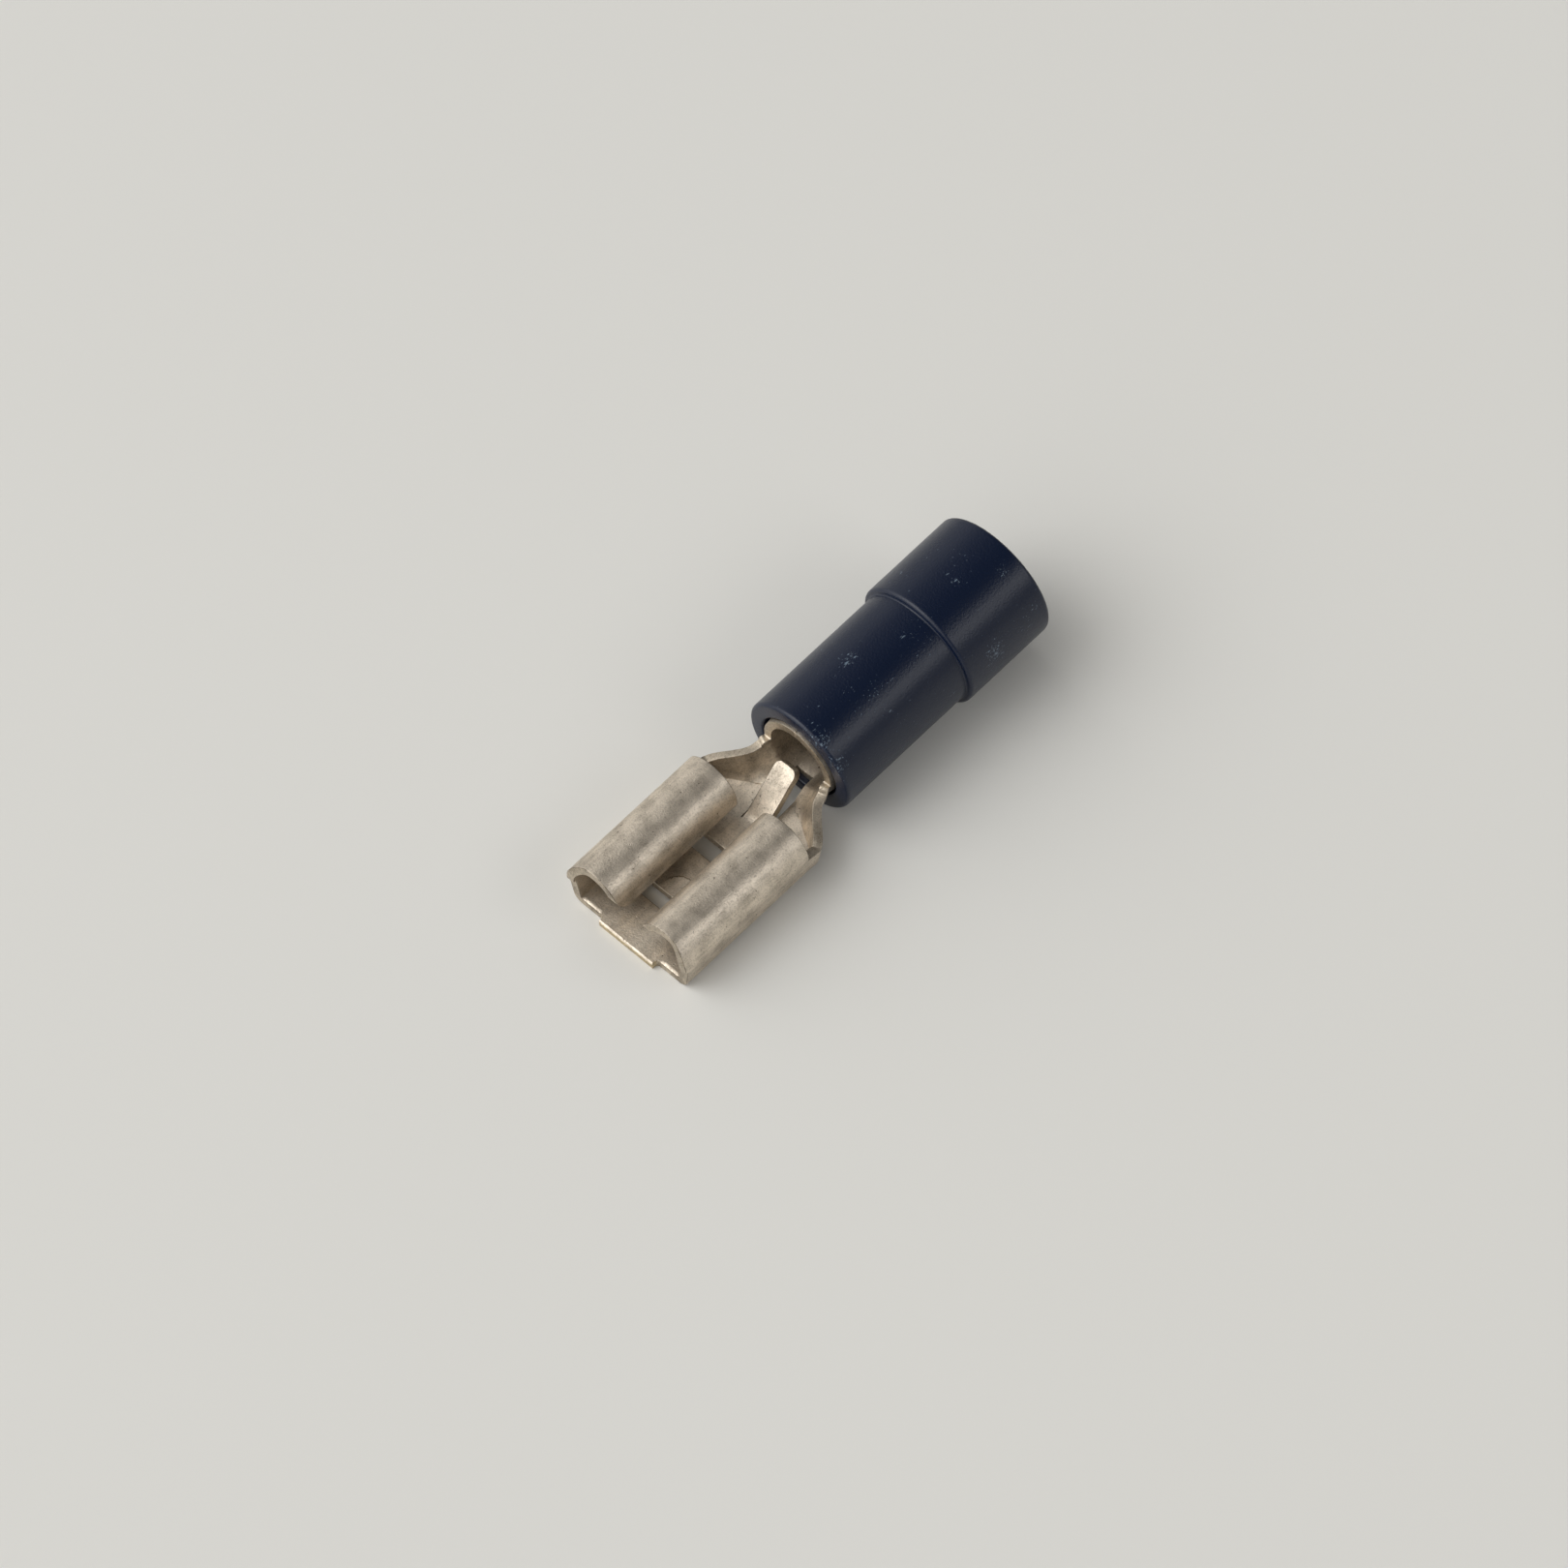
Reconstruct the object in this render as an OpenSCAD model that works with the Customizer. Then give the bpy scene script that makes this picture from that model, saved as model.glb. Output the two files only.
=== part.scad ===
// Insulated female spade terminal.
// A receptacle, a trough and a crimp barrel are folded from one strip of brass, and a stepped plastic
// sleeve covers the barrel. +X points out of the mouth that takes the flat tab, and +Z is up.
// The origin is the centre of the sleeve's open wire end. All sizes are in millimetres.

/* [Tab that it takes] */
// Width of the flat tab
tab_w = 4.75; // [4.5:0.05:5]
// Thickness of the flat tab
tab_t = 0.5; // [0.4:0.05:0.6]
// Play between the tab and the side wall, at each edge
tab_play = 0.03; // [0.01:0.01:0.06]
// How much thinner than the tab the empty slot is
tab_grip = 0.05; // [0:0.01:0.1]

/* [Brass strip] */
// Thickness of the strip
sheet_t = 0.35; // [0.3:0.01:0.38]

/* [Receptacle] */
// Length of the curled part
receptacle_l = 6.1; // [5.8:0.1:8]
// Width across the two curls
receptacle_w = 5.82; // [5.7:0.02:5.94]
// Height from the underside to the top of the curls
receptacle_h = 2.62; // [2.5:0.02:2.8]
// Outside radius of each curl
curl_r = 1.17; // [1.1:0.01:1.25]
// Inside radius of the bend between floor and side wall
bend_in_r = 0.05; // [0.03:0.01:0.12]

/* [Mouth] */
// Width of the lead-in tongue
tongue_w = 2.6; // [2:0.1:3.2]
// How far the tongue stands out of the mouth
tongue_l = 0.24; // [0.16:0.02:0.5]
// Radius of the corner between tongue and floor
tongue_fillet_r = 0.14; // [0.05:0.01:0.15]
// Depth of the coined bevel along the tongue's upper edge
coin_depth = 0.13; // [0.05:0.01:0.2]
// Length of the coined bevel
coin_l = 0.06; // [0.03:0.01:0.12]
// How far back the curl's free front corner is trimmed
curl_trim_l = 0.95; // [0.4:0.05:1.2]
// Height over the curl's centre at which that trim starts
curl_trim_h = 0.5; // [0.1:0.05:0.6]

/* [Windows and detent] */
// Width of both windows in the floor
window_w = 2.3; // [1.8:0.1:3]
// Length of the front window
front_window_l = 0.62; // [0.4:0.02:0.9]
// Length of the rear window
rear_window_l = 0.72; // [0.4:0.02:0.9]
// Floor left between the mouth and the front window
front_land_l = 1.55; // [1:0.05:1.8]
// Length of the bridge between the windows
bridge_l = 1.93; // [1.4:0.01:2]
// Radius of the sheared step that catches the hole in the tab
detent_r = 0.7; // [0.5:0.05:0.8]
// Height of that step
detent_h = 0.17; // [0.08:0.01:0.25]
// Distance from the step's centre to the bridge's front edge
detent_set = 0.21; // [0.1:0.01:0.3]

/* [Tab stop] */
// Width of the lanced tab stop
stop_w = 0.95; // [0.7:0.05:1.2]
// Length of its straight part
stop_l = 2.25; // [1.6:0.05:2.4]
// Angle that it is bent up
stop_angle = 43; // [40:1:58]
// Inside radius of its bend
stop_bend_r = 0.45; // [0.4:0.05:0.7]
// Radius of its two free corners
stop_corner_r = 0.26; // [0.1:0.02:0.32]
// Floor between the tab stop's bend and the curls
stop_set = 0.06; // [0.06:0.02:0.2]
// Play between the stop and the slot that it was cut from, at each side
stop_play = 0.03; // [0.01:0.01:0.08]

/* [Trough] */
// Length of the trough from the barrel's rim to the curls
trough_l = 2.5; // [2.3:0.1:3.5]
// Height of its walls at the lowest place
trough_h = 1.12; // [0.9:0.02:1.2]
// How far the receptacle's underside lies below the barrel's
floor_drop = 0.135; // [0:0.015:0.3]
// Outward lean that the walls gain half way, in degrees
flare_lean = 16; // [0:1:18]
// Outside width of the neck at the barrel's rim
neck_w = 3.24; // [3.1:0.02:3.44]

/* [Crimp barrel] */
// Outside diameter of the barrel
barrel_d = 3.47; // [3.45:0.01:3.6]
// Length of the barrel, up to its rim
barrel_l = 6; // [5:0.1:6.5]
// Gap of the butt seam along its top
seam_gap = 0.05; // [0.03:0.01:0.15]
// Height of the barrel's axis at which the rim meets the trough's walls
rim_corner_drop = 0.13; // [0.05:0.01:0.3]

/* [Insulating sleeve] */
// Length of the sleeve
sleeve_l = 10.18; // [9.5:0.1:12]
// Outside diameter of its front part
sleeve_d = 4.79; // [4.5:0.01:5]
// Outside diameter of its collar
collar_d = 5.24; // [5.1:0.01:5.6]
// Length of its collar
collar_l = 4.1; // [3:0.1:5]
// Inside diameter of the wire entry
entry_d = 4.3; // [3.9:0.05:4.4]
// Length of the funnel between the wire entry and the barrel
funnel_l = 0.8; // [0.5:0.05:1.2]
// Radius of its outside edges
sleeve_edge_r = 0.14; // [0.05:0.01:0.16]
// Bevel where its bore opens at the front
bore_bevel = 0.09; // [0.03:0.01:0.15]
// Play between the sleeve's bore and the barrel, on the radius
barrel_play = 0.02; // [0.01:0.005:0.04]
// How far the barrel's rim stands out of the sleeve
rim_stand = 0.07; // [0:0.01:0.3]

/* [Hidden] */
$fn = 96;

// Places along the axis
rim_x = sleeve_l + rim_stand;
barrel_x = rim_x - barrel_l;
curl_x = rim_x + trough_l;
mouth_x = curl_x + receptacle_l;
front_window_x = mouth_x - front_land_l - front_window_l;
rear_window_x = front_window_x - bridge_l - rear_window_l;
stop_x = curl_x - stop_set;

// Barrel
barrel_r = barrel_d / 2;
barrel_bore_r = barrel_r - sheet_t;
rim_angle = -asin(rim_corner_drop / barrel_r);
// The walls drop this much right after the rim, and they are narrower over the neck's length
rim_dip = 0.1;
rim_dip_l = 0.2;
neck_l = 0.45;
neck_pinch = 1 - neck_w / barrel_d;

// Receptacle
bend_r = bend_in_r + sheet_t;
floor_z = -barrel_r - floor_drop;
deck_z = floor_z + sheet_t;
slot_h = tab_t - tab_grip;
curl_y = receptacle_w / 2 - curl_r;
curl_z = floor_z + receptacle_h - curl_r;
bend_y = tab_w / 2 + tab_play - bend_in_r;
bend_z = floor_z + bend_r;
// The side wall is the line that touches both the bend and the curl
wall_run = bend_y - curl_y;
wall_rise = curl_z - bend_z;
wall_lean = atan2(wall_rise, wall_run) - acos((curl_r - bend_r) / norm([wall_run, wall_rise]));
wall_top = [curl_y + curl_r * cos(wall_lean), curl_z - curl_r * sin(wall_lean)];
// The curl ends where its lip is one slot height above the floor
lip_angle = 180 + asin((curl_z - deck_z - slot_h) / curl_r);

// Smoothness of the folded strip
bend_steps = 8;
curl_steps = 48;
trough_steps = 24;
corner_steps = 6;
// The trough runs this far into its neighbours, and each face lies this deep inside theirs
joint_l = 0.05;
joint_skin = 0.01;
// Overrun of cutting solids
over = 0.5;
// Flat edge of the bridge in front of the detent's slope
detent_land = 0.1;

function mix(a, b, t) = a + (b - a) * t;
function ease(t) = let (c = max(0, min(1, t))) c * c * (3 - 2 * c);
function ramp(t, a, b) = ease((t - a) / (b - a));
function swing(t) = (1 + cos(180 * min(1, abs(t)))) / 2;
function along(a, b, steps) = [for (i = [0 : steps]) mix(a, b, i / steps)];
function reversed(list) = [for (i = [len(list) - 1 : -1 : 0]) list[i]];
function arc(centre, r, angles) = [for (a = angles) centre + r * [cos(a), sin(a)]];

// ---- Half sections of the strip, as [y, z] points from the middle of the floor to the free edge ----

// The receptacle: floor, bend, leaning wall and curl, on the face that lies depth inside the strip
function curl_half(depth) = concat(
    [[0, floor_z + depth]],
    arc([bend_y, bend_z], bend_r - depth, along(-90, -wall_lean, bend_steps)),
    arc([curl_y, curl_z], curl_r - depth, along(-wall_lean, lip_angle, curl_steps)));

// Outside half width of the trough at its free edge, for t from 0 at the rim to 1 at the curls
function trough_half_w(t) = mix(barrel_r * cos(rim_angle), wall_top[0], ramp(t, 0.15, 0.81));

// Height of that edge above the trough's underside
function trough_wall_h(t) =
    mix(barrel_r - rim_corner_drop - rim_dip, trough_h, max(0, min(1, t / 0.72)))
    + rim_dip * swing(t * trough_l / rim_dip_l)
    + (wall_top[1] - floor_z - trough_h) * ramp(t, 0.72, 1);

// The strip looks thicker in a section where the walls run out sideways
function slant(t) = norm([1, (trough_half_w(t + 0.01) - trough_half_w(t - 0.01)) / (0.02 * trough_l)]);

// The trough: the rim's lower arc turns into a flat floor, tight bends and leaning walls
function trough_half(t, depth) =
    let (
        low = -barrel_r - floor_drop * ramp(t, 0, 0.82),
        lean = mix(-rim_angle, wall_lean, ramp(t, 0, 0.82)) + flare_lean * sin(180 * ramp(t, 0, 0.82)),
        r = mix(barrel_r, bend_r, ramp(t, 0, 0.74)),
        w = trough_half_w(t),
        h = trough_wall_h(t),
        bend_y = (w * cos(lean) - h * sin(lean) - r + r * sin(lean)) / cos(lean),
        wall_t = depth * slant(t),
        spare = 1 - ramp(t, 0, 0.5),
        angles = along(-90 + 8 * spare, -lean - 4 * spare, bend_steps),
        bend = arc([bend_y - (wall_t - depth) / 2, low + r], r - depth, angles),
        edge = [w - wall_t * cos(lean), low + h + wall_t * sin(lean)],
        squeeze = 1 - neck_pinch * swing(t * trough_l / neck_l)
    )
    [for (p = concat([[0, low + depth]], bend, [edge])) [p[0] * squeeze, p[1]]];

function mirrored(half) = concat([for (p = reversed(half)) [-p[0], p[1]]], [for (i = [1 : len(half) - 1]) half[i]]);

// ---- Solids made from those sections ----

// A shell through sections that each hold as many outer points as inner points
module strip_shell(places, outers, inners) {
    n = len(outers[0]);
    last = len(places) - 1;
    points = [for (s = [0 : last], p = concat(outers[s], reversed(inners[s]))) [places[s], p[0], p[1]]];
    sides = [for (s = [0 : last - 1], i = [0 : 2 * n - 1])
        let (j = (i + 1) % (2 * n), a = s * 2 * n, b = a + 2 * n)
            each [[a + i, b + i, b + j], [a + i, b + j, a + j]]];
    caps = [for (i = [0 : n - 2])
        let (j = 2 * n - 1 - i, e = last * 2 * n)
            each [[i, i + 1, j], [i + 1, j - 1, j], [e + i, e + j, e + i + 1], [e + i + 1, e + j, e + j - 1]]];
    polyhedron(points = points, faces = concat(sides, caps));
}

// A profile drawn as [x, z] and given a width across Y
module across(width) {
    translate([0, width / 2, 0]) rotate([90, 0, 0]) linear_extrude(width) children();
}

// A profile drawn as [y, z] and run along X
module lengthwise(x, length) {
    translate([x, 0, 0]) rotate([90, 0, 90]) linear_extrude(length) children();
}

module block(x, length, width, z, height) {
    translate([x, -width / 2, z]) cube([length, width, height]);
}

// ---- Receptacle ----

module curled_body() {
    lengthwise(curl_x, receptacle_l) polygon(concat(mirrored(curl_half(0)), reversed(mirrored(curl_half(sheet_t)))));
}

// The free front corner of each curl is cut away, so that the tab finds its way in
module curl_trim() {
    low = deck_z + slot_h / 2;
    top = curl_z + curl_trim_h;
    across(2 * (curl_y - curl_r / 4))
        polygon([[mouth_x + over, top], [mouth_x, top], [mouth_x - curl_trim_l, low], [mouth_x + over, low]]);
}

module tongue() {
    y = tongue_w / 2;
    r = tongue_fillet_r;
    side = concat(arc([mouth_x + r, y + r], r, along(180, 270, corner_steps)), [[mouth_x + tongue_l, y]]);
    translate([0, 0, floor_z]) linear_extrude(sheet_t)
        polygon(concat(side, [for (p = reversed(side)) [p[0], -p[1]]]));
}

// The press coins the upper edge of the tongue into a bevel
module coined_edge() {
    tip = mouth_x + tongue_l;
    across(tongue_w + over)
        polygon([[tip - coin_l, deck_z], [tip, deck_z - coin_depth], [tip + over, deck_z - coin_depth], [tip + over, deck_z + over], [tip - coin_l, deck_z + over]]);
}

module windows() {
    block(front_window_x, front_window_l, window_w, floor_z - over, sheet_t + over + slot_h / 2);
    block(rear_window_x, rear_window_l, window_w, floor_z - over, sheet_t + over + slot_h / 2);
}

// The bridge is sheared along a half circle and pushed up there, and it slopes back down to the front.
// This wedge has its slope start at height z, and it reaches a little below that.
module detent_wedge(z, depth) {
    centre = front_window_x - detent_set;
    low_x = front_window_x - detent_land;
    slope = detent_h / (low_x - centre + detent_r);
    intersection() {
        translate([centre, 0, z - depth]) cylinder(r = detent_r, h = depth + over);
        across(4 * detent_r) polygon([
            [low_x + detent_land / 2, z - depth],
            [low_x + detent_land / 2, z - slope * detent_land / 2],
            [centre - 2 * detent_r, z + slope * (low_x - centre + 2 * detent_r)],
            [centre - 2 * detent_r, z - depth]]);
    }
}

// ---- Tab stop ----

// A strip bent up from the floor, rounded at its free corners
module tab_stop() {
    r = stop_corner_r;
    block(stop_x, 2 * stop_set, stop_w, floor_z, sheet_t);
    tip = concat(
        arc([-stop_l + r, stop_w - r], r, along(90, 180, corner_steps)),
        arc([-stop_l + r, r], r, along(180, 270, corner_steps)));
    translate([stop_x, stop_w / 2, deck_z + stop_bend_r]) rotate([90, 0, 0]) rotate(-90 - stop_angle) {
        rotate_extrude(angle = stop_angle) translate([stop_bend_r, 0]) square([sheet_t, stop_w]);
        translate([stop_bend_r, 0, 0]) rotate([90, 0, 90]) linear_extrude(sheet_t)
            polygon(concat([[0, 0], [0, stop_w]], tip));
    }
}

// The slot is as long as the strip that was bent out of it
module stop_slot() {
    length = stop_l + (stop_bend_r + sheet_t / 2) * stop_angle * PI / 180;
    block(stop_x - length, length, stop_w + 2 * stop_play, floor_z - over, over + sheet_t + floor_drop + sheet_t);
}

// ---- Trough and barrel ----

module trough() {
    steps = concat([-joint_l / trough_l], along(0, 1, trough_steps), [1 + joint_l / trough_l]);
    strip_shell(
        [for (t = steps) mix(rim_x, curl_x, t)],
        [for (t = steps) mirrored(trough_half(t, joint_skin))],
        [for (t = steps) mirrored(trough_half(t, sheet_t - joint_skin))]);
}

module barrel() {
    difference() {
        translate([barrel_x, 0, 0]) rotate([0, 90, 0]) cylinder(r = barrel_r, h = barrel_l);
        translate([barrel_x - over, 0, 0]) rotate([0, 90, 0]) cylinder(r = barrel_bore_r, h = barrel_l + 2 * over);
        block(barrel_x - over, barrel_l + 2 * over, seam_gap, 0, barrel_r + over);
    }
}

// ---- The two pieces ----

module terminal() {
    color("#b5ab9c") union() {
        difference() {
            union() {
                curled_body();
                tongue();
                trough();
                barrel();
            }
            curl_trim();
            coined_edge();
            windows();
            stop_slot();
            detent_wedge(floor_z, over);
        }
        detent_wedge(deck_z, sheet_t / 4);
        tab_stop();
    }
}

module insulating_sleeve() {
    front_r = sleeve_d / 2;
    rear_r = collar_d / 2;
    bore_r = barrel_r + barrel_play;
    lip_r = barrel_bore_r + barrel_play;
    seat_x = barrel_x - barrel_play;
    e = sleeve_edge_r;
    color("#141c33") rotate([0, 90, 0]) rotate_extrude() polygon(concat(
        [[entry_d / 2, 0]],
        arc([rear_r - e, e], e, along(-90, 0, corner_steps)),
        arc([rear_r - e, collar_l - e], e, along(0, 90, corner_steps)),
        [[front_r, collar_l]],
        arc([front_r - e, sleeve_l - e], e, along(0, 90, corner_steps)),
        [[bore_r + bore_bevel, sleeve_l], [bore_r, sleeve_l - bore_bevel]],
        [[bore_r, seat_x], [lip_r, seat_x], [entry_d / 2, seat_x - funnel_l]]));
}

terminal();
insulating_sleeve();
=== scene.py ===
"""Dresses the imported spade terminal: a folded strip of tinned brass and its dark blue plastic sleeve.

Every length is in metres in the part's frame: +X out of the mouth, +Z up, origin at the centre of the sleeve's
open wire end. Sizes that a user would change are in the property groups, and the rest are named next to the
shape that they make.
"""

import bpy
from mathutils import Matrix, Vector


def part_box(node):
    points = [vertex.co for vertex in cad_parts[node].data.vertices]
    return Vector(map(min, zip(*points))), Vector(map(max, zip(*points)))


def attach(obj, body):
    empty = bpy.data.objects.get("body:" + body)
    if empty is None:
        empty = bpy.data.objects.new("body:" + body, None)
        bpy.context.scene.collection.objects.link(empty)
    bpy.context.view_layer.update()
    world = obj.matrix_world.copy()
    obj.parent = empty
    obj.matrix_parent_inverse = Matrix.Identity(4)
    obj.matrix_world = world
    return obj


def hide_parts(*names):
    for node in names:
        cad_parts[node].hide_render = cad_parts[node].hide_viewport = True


bl_info = {
    "name": "Insulated female spade terminal",
    "version": (1, 0, 0),
    "blender": (4, 5, 0),
    "location": "View3D > Sidebar > Terminal",
    "description": "Builds the tinned brass strip, the plastic sleeve and the studio round the packed frame",
    "category": "Object",
}

import math

import bpy
import numpy as np
from bpy.props import FloatProperty, FloatVectorProperty, PointerProperty
from bpy.types import Operator, Panel, PropertyGroup
from mathutils import Matrix, Vector

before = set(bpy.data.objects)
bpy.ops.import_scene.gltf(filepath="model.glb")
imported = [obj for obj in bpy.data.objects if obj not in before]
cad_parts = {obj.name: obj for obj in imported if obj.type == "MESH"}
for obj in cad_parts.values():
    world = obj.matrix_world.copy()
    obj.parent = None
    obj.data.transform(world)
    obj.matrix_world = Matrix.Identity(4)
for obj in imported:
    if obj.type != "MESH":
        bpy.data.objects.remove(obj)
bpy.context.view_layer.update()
STRIP_LOW, STRIP_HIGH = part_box("terminal")
_, SLEEVE_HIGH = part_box("insulating_sleeve")

MM = 0.001


# ---- Small helpers ----


def srgb(hex_colour):
    """Linear RGBA from an sRGB hex string: v/12.92 to 0.04045, and above it ((v + 0.055)/1.055)^2.4."""
    values = [int(hex_colour[i : i + 2], 16) / 255 for i in (1, 3, 5)]
    linear = [v / 12.92 if v <= 0.04045 else ((v + 0.055) / 1.055) ** 2.4 for v in values]
    return (*linear, 1.0)


def length(name, description, millimetres):
    """A length property with its default given in millimetres."""
    return FloatProperty(
        name=name, description=description, default=millimetres * MM, min=0.0, unit="LENGTH", precision=6
    )


def colour(name, description, hex_colour):
    """A colour property with its default given as an sRGB hex string."""
    return FloatVectorProperty(
        name=name, description=description, default=srgb(hex_colour)[:3], subtype="COLOR", min=0.0, max=1.0
    )


def power(name, description, watts):
    """A power property with its default given in watts."""
    return FloatProperty(name=name, description=description, default=watts, unit="POWER")


def brightness(name, description, value):
    """A brightness property that doesn't go below 0."""
    return FloatProperty(name=name, description=description, default=value, min=0.0)


def ease(t):
    """A step from 0 to 1 with level ends: 3t^2 - 2t^3 for t held between 0 and 1."""
    t = np.clip(t, 0.0, 1.0)
    return t * t * (3 - 2 * t)


def ramp(t, start, end):
    """The eased step that runs from start to end."""
    return ease((t - start) / (end - start))


def swing(t):
    """A hump of height 1 at t = 0 that falls as a half cosine to 0 at |t| = 1."""
    return (1 + np.cos(np.pi * np.minimum(1.0, np.abs(t)))) / 2


def mix(a, b, t):
    """The straight blend from a to b."""
    return a + (b - a) * t


def add_node(tree, kind, inputs=None, **settings):
    """Adds one node, sets its properties, and fills its inputs with values or other nodes' output sockets."""
    node = tree.nodes.new(kind)
    for name, value in settings.items():
        setattr(node, name, value)
    for name, value in (inputs or {}).items():
        socket = node.inputs[name]
        if isinstance(value, bpy.types.NodeSocket):
            tree.links.new(value, socket)
        else:
            socket.default_value = value
    return node


def new_material(name):
    """An empty node material with its output and Principled shader."""
    material = bpy.data.materials.new(name)
    material.use_nodes = True
    tree = material.node_tree
    tree.nodes.clear()
    output = tree.nodes.new("ShaderNodeOutputMaterial")
    shader = tree.nodes.new("ShaderNodeBsdfPrincipled")
    tree.links.new(shader.outputs["BSDF"], output.inputs["Surface"])
    return material, tree, shader


def new_piece(name, vertices, faces, material):
    """A smooth-shaded mesh object at the origin, made from arrays of points and of faces of one size."""
    mesh = bpy.data.meshes.new(name)
    mesh.from_pydata(vertices.tolist(), [], faces.tolist())
    mesh.validate()
    mesh.shade_smooth()
    mesh.materials.append(material)
    piece = bpy.data.objects.new(name, mesh)
    bpy.context.scene.collection.objects.link(piece)
    return piece


# ---- Sizes and colours ----


class StripSizes(PropertyGroup):
    """Sizes of the folded strip."""

    thickness: length("Thickness", "Thickness of the strip", 0.35)
    trough: length("Trough", "Length from the barrel's rim to the curls", 2.5)
    receptacle: length("Receptacle", "Length of the curls", 6.1)
    curl_radius: length("Curl radius", "Outside radius of each curl", 1.17)
    bend_radius: length("Bend radius", "Outside radius of the bends beside the floor", 0.40)
    bend_offset: length("Bend place", "Distance of those bends' centres from the middle", 2.355)
    slot_height: length("Slot height", "Free height under the curls' lips", 0.45)
    barrel_radius: length("Barrel radius", "Outside radius of the barrel", 1.735)
    barrel_length: length("Barrel length", "Length of the barrel up to its rim", 6.0)
    floor_drop: length("Floor drop", "How far the receptacle lies below the barrel's underside", 0.135)
    edge_round: length("Edge rounding", "Radius of the rounding on sheared edges", 0.018)


class StopSizes(PropertyGroup):
    """Sizes of the tab stop that is lanced out of the floor."""

    width: length("Width", "Width of the tab stop", 0.95)
    straight: length("Straight", "Length of its straight part", 2.25)
    angle: FloatProperty(
        name="Angle", description="Angle that it is bent up", default=math.radians(43), subtype="ANGLE"
    )
    bend_radius: length("Bend radius", "Inside radius of its bend", 0.45)
    corner_radius: length("Corner radius", "Radius of its free corners", 0.26)


class SleeveSizes(PropertyGroup):
    """Sizes of the plastic sleeve."""

    front_radius: length("Front radius", "Outside radius of the front part", 2.395)
    collar_radius: length("Collar radius", "Outside radius of the collar", 2.62)
    collar_length: length("Collar length", "Length of the collar", 4.1)
    bore_radius: length("Bore radius", "Radius of the bore round the barrel", 1.755)
    entry_radius: length("Entry radius", "Radius of the wire entry", 2.15)
    edge_radius: length("Edge radius", "Radius of its outside edges", 0.14)


class Finishes(PropertyGroup):
    """Colours of the surfaces."""

    tin: colour("Tin", "Tin plating over brass", "#e8dccb")
    brass: colour("Brass", "Bare brass where the strip was sheared", "#d9c48c")
    # Also mixed in as painted shade on the cut faces, besides the real film in the pits
    grime_and_shade: colour("Grime", "Dark film in pits and along edges", "#54493a")
    nylon: colour("Nylon", "Body of the plastic sleeve", "#06142c")
    scuff: colour("Scuff", "Pale marks where the plastic is scratched", "#8ea2b4")
    floor: colour("Floor", "Plain floor", "#e2e1dd")


class StudioSizes(PropertyGroup):
    """Strength of the lamps and of the room round them."""

    mouth_lamp: power("Mouth lamp", "Power of the wide, low lamp beyond the mouth", 0.02)
    top_lamp: power("Top lamp", "Power of the wide, high lamp beyond the mouth", 0.72)
    side_lamp: power("Side lamp", "Power of the narrow lamp on the +Y side", 0.30)
    back_lamp: power("Back lamp", "Power of the low lamp on the -Y side", 0.08)
    horizon: brightness("Horizon", "Brightness of the room near the horizon", 0.40)
    zenith: brightness("Zenith", "Brightness of the room overhead", 0.05)
    bright_side: brightness("Bright side", "Brightness added on the room's side beyond the mouth", 1.31)


# ---- Materials ----


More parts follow.
